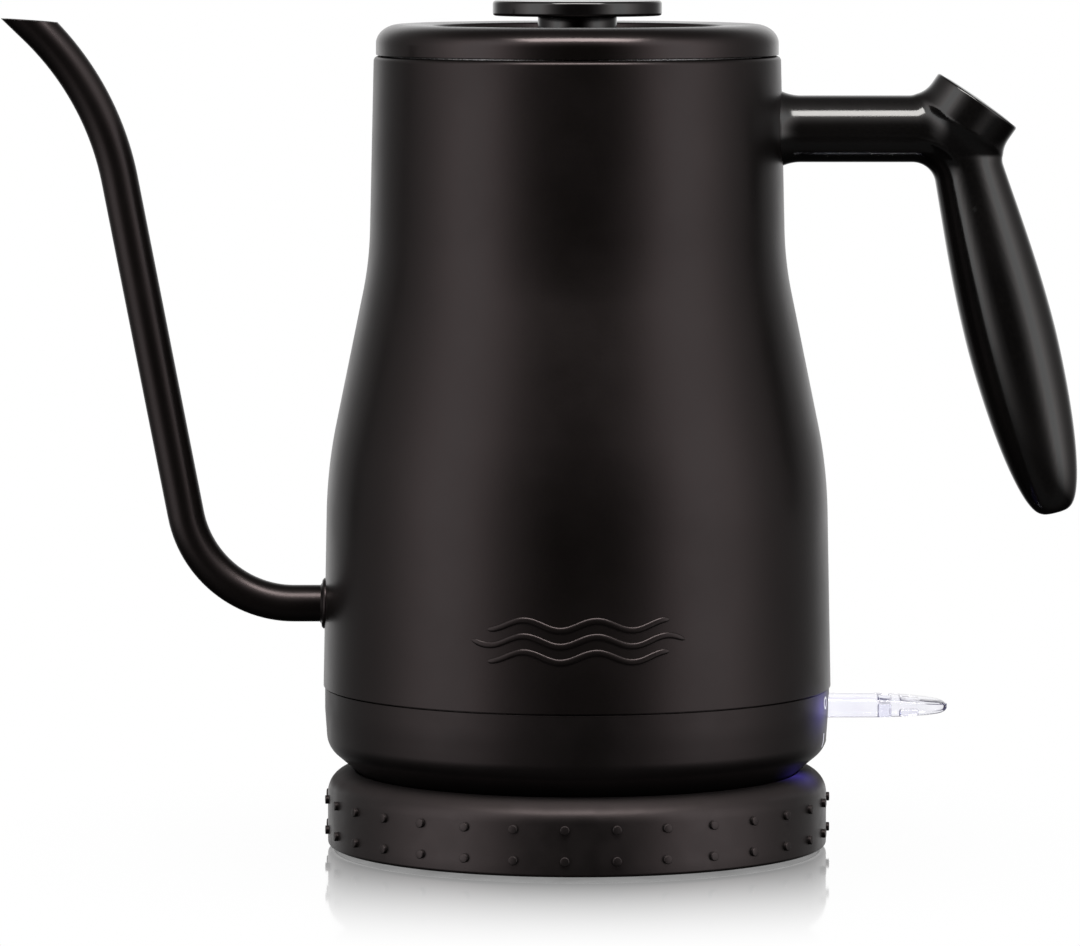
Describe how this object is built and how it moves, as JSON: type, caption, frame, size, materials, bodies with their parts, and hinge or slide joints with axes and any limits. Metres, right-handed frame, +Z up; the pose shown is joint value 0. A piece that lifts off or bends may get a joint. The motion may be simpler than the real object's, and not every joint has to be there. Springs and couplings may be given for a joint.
{
  "type": "gooseneck kettle",
  "caption": "Black electric kettle with a slim curved pouring spout, a lift-off dished lid and a side switch lever, standing on a round cordless power base.",
  "frame": {"origin": "middle of the overall box from spout tip to grip, on the surface that the feet stand on", "axes": "+X from the spout towards the handle, +Y towards the cord outlet at the back, +Z up along the kettle's axis"},
  "size_m": [0.2918, 0.1382, 0.2303],
  "materials": {
    "satin_black_paint": "satin",
    "satin_black_plastic": "satin",
    "gloss_black_plastic": "gloss",
    "matte_black_plastic": "matte",
    "matte_black_rubber": "matte",
    "brushed_steel": "brushed",
    "cast_aluminium": "cast",
    "contact_brass": "satin",
    "clear_plastic": "clear",
    "white_nylon": "matte",
    "circuit_board": "matte",
    "blue_lamp": "gloss"
  },
  "bodies": {
    "base": {"base_shell": "matte_black_plastic", "grip_band": "matte_black_rubber", "base_bottom_plate": "matte_black_plastic", "base_foot_1": "matte_black_rubber", "base_foot_2": "matte_black_rubber", "base_foot_3": "matte_black_rubber", "base_foot_4": "matte_black_rubber", "base_screw_1": "brushed_steel", "base_screw_2": "brushed_steel", "base_screw_3": "brushed_steel", "cord_clamp": "matte_black_plastic", "clamp_screw_1": "brushed_steel", "clamp_screw_2": "brushed_steel"},
    "power_plug": {"plug_housing": "matte_black_plastic", "plug_earth_ring": "brushed_steel", "plug_contact_ring": "contact_brass", "plug_center_pin": "contact_brass"},
    "kettle": {"vessel_shell": "satin_black_paint", "bottom_cup": "satin_black_plastic", "cup_screw_1": "brushed_steel", "cup_screw_2": "brushed_steel", "cup_screw_3": "brushed_steel", "heating_plate": "brushed_steel", "heat_spreader": "cast_aluminium", "heating_element": "brushed_steel", "element_terminal_1": "contact_brass", "element_terminal_2": "contact_brass", "kettle_socket": "satin_black_plastic", "socket_pin_contact": "contact_brass", "socket_ring_contact": "contact_brass", "control_housing": "satin_black_plastic", "bimetal_disc_1": "brushed_steel", "bimetal_disc_2": "brushed_steel", "lever_bracket": "satin_black_plastic", "lever_pin": "brushed_steel", "rocker_pin": "brushed_steel", "lamp_board": "circuit_board", "lever_lamp": "blue_lamp", "steam_tube": "brushed_steel", "steam_tube_seal": "matte_black_rubber", "spout_tube": "satin_black_paint", "spout_flange": "satin_black_paint", "spout_strainer": "brushed_steel", "handle": "gloss_black_plastic", "handle_cap": "gloss_black_plastic", "handle_stud": "brushed_steel", "handle_screw": "brushed_steel", "handle_screw_seal": "matte_black_rubber"},
    "lid": {"lid_shell": "satin_black_paint", "lid_plug": "brushed_steel", "lid_seal": "matte_black_rubber", "knob_stem": "gloss_black_plastic", "knob_disc": "gloss_black_plastic", "knob_screw": "brushed_steel"},
    "lever": {"switch_lever": "clear_plastic"},
    "rocker": {"trip_rocker": "white_nylon"}
  },
  "joints": [
    {"name": "kettle_swivel", "type": "hinge", "parent": "base", "child": "power_plug", "pos_m": [0.0101, 0, 0], "axis": [0, 0, 1], "continuous": true},
    {"name": "kettle_lift", "type": "slide", "parent": "power_plug", "child": "kettle", "axis": [0, 0, 1], "range_m": [0, 0.1]},
    {"name": "lid_lift", "type": "slide", "parent": "kettle", "child": "lid", "axis": [0, 0, 1], "range_m": [0, 0.06]},
    {"name": "switch_press", "type": "hinge", "parent": "kettle", "child": "lever", "pos_m": [0.0521, 0, 0.0385], "axis": [0, 1, 0], "range_deg": [0, 11]},
    {"name": "rocker_trip", "type": "hinge", "parent": "kettle", "child": "rocker", "pos_m": [0.0361, 0, 0.0385], "axis": [0, 1, 0], "range_deg": [-13, 0]}
  ],
  "couplings": [
    {"joint": "rocker_trip", "follows": "switch_press", "ratio": -1.14}
  ]
}
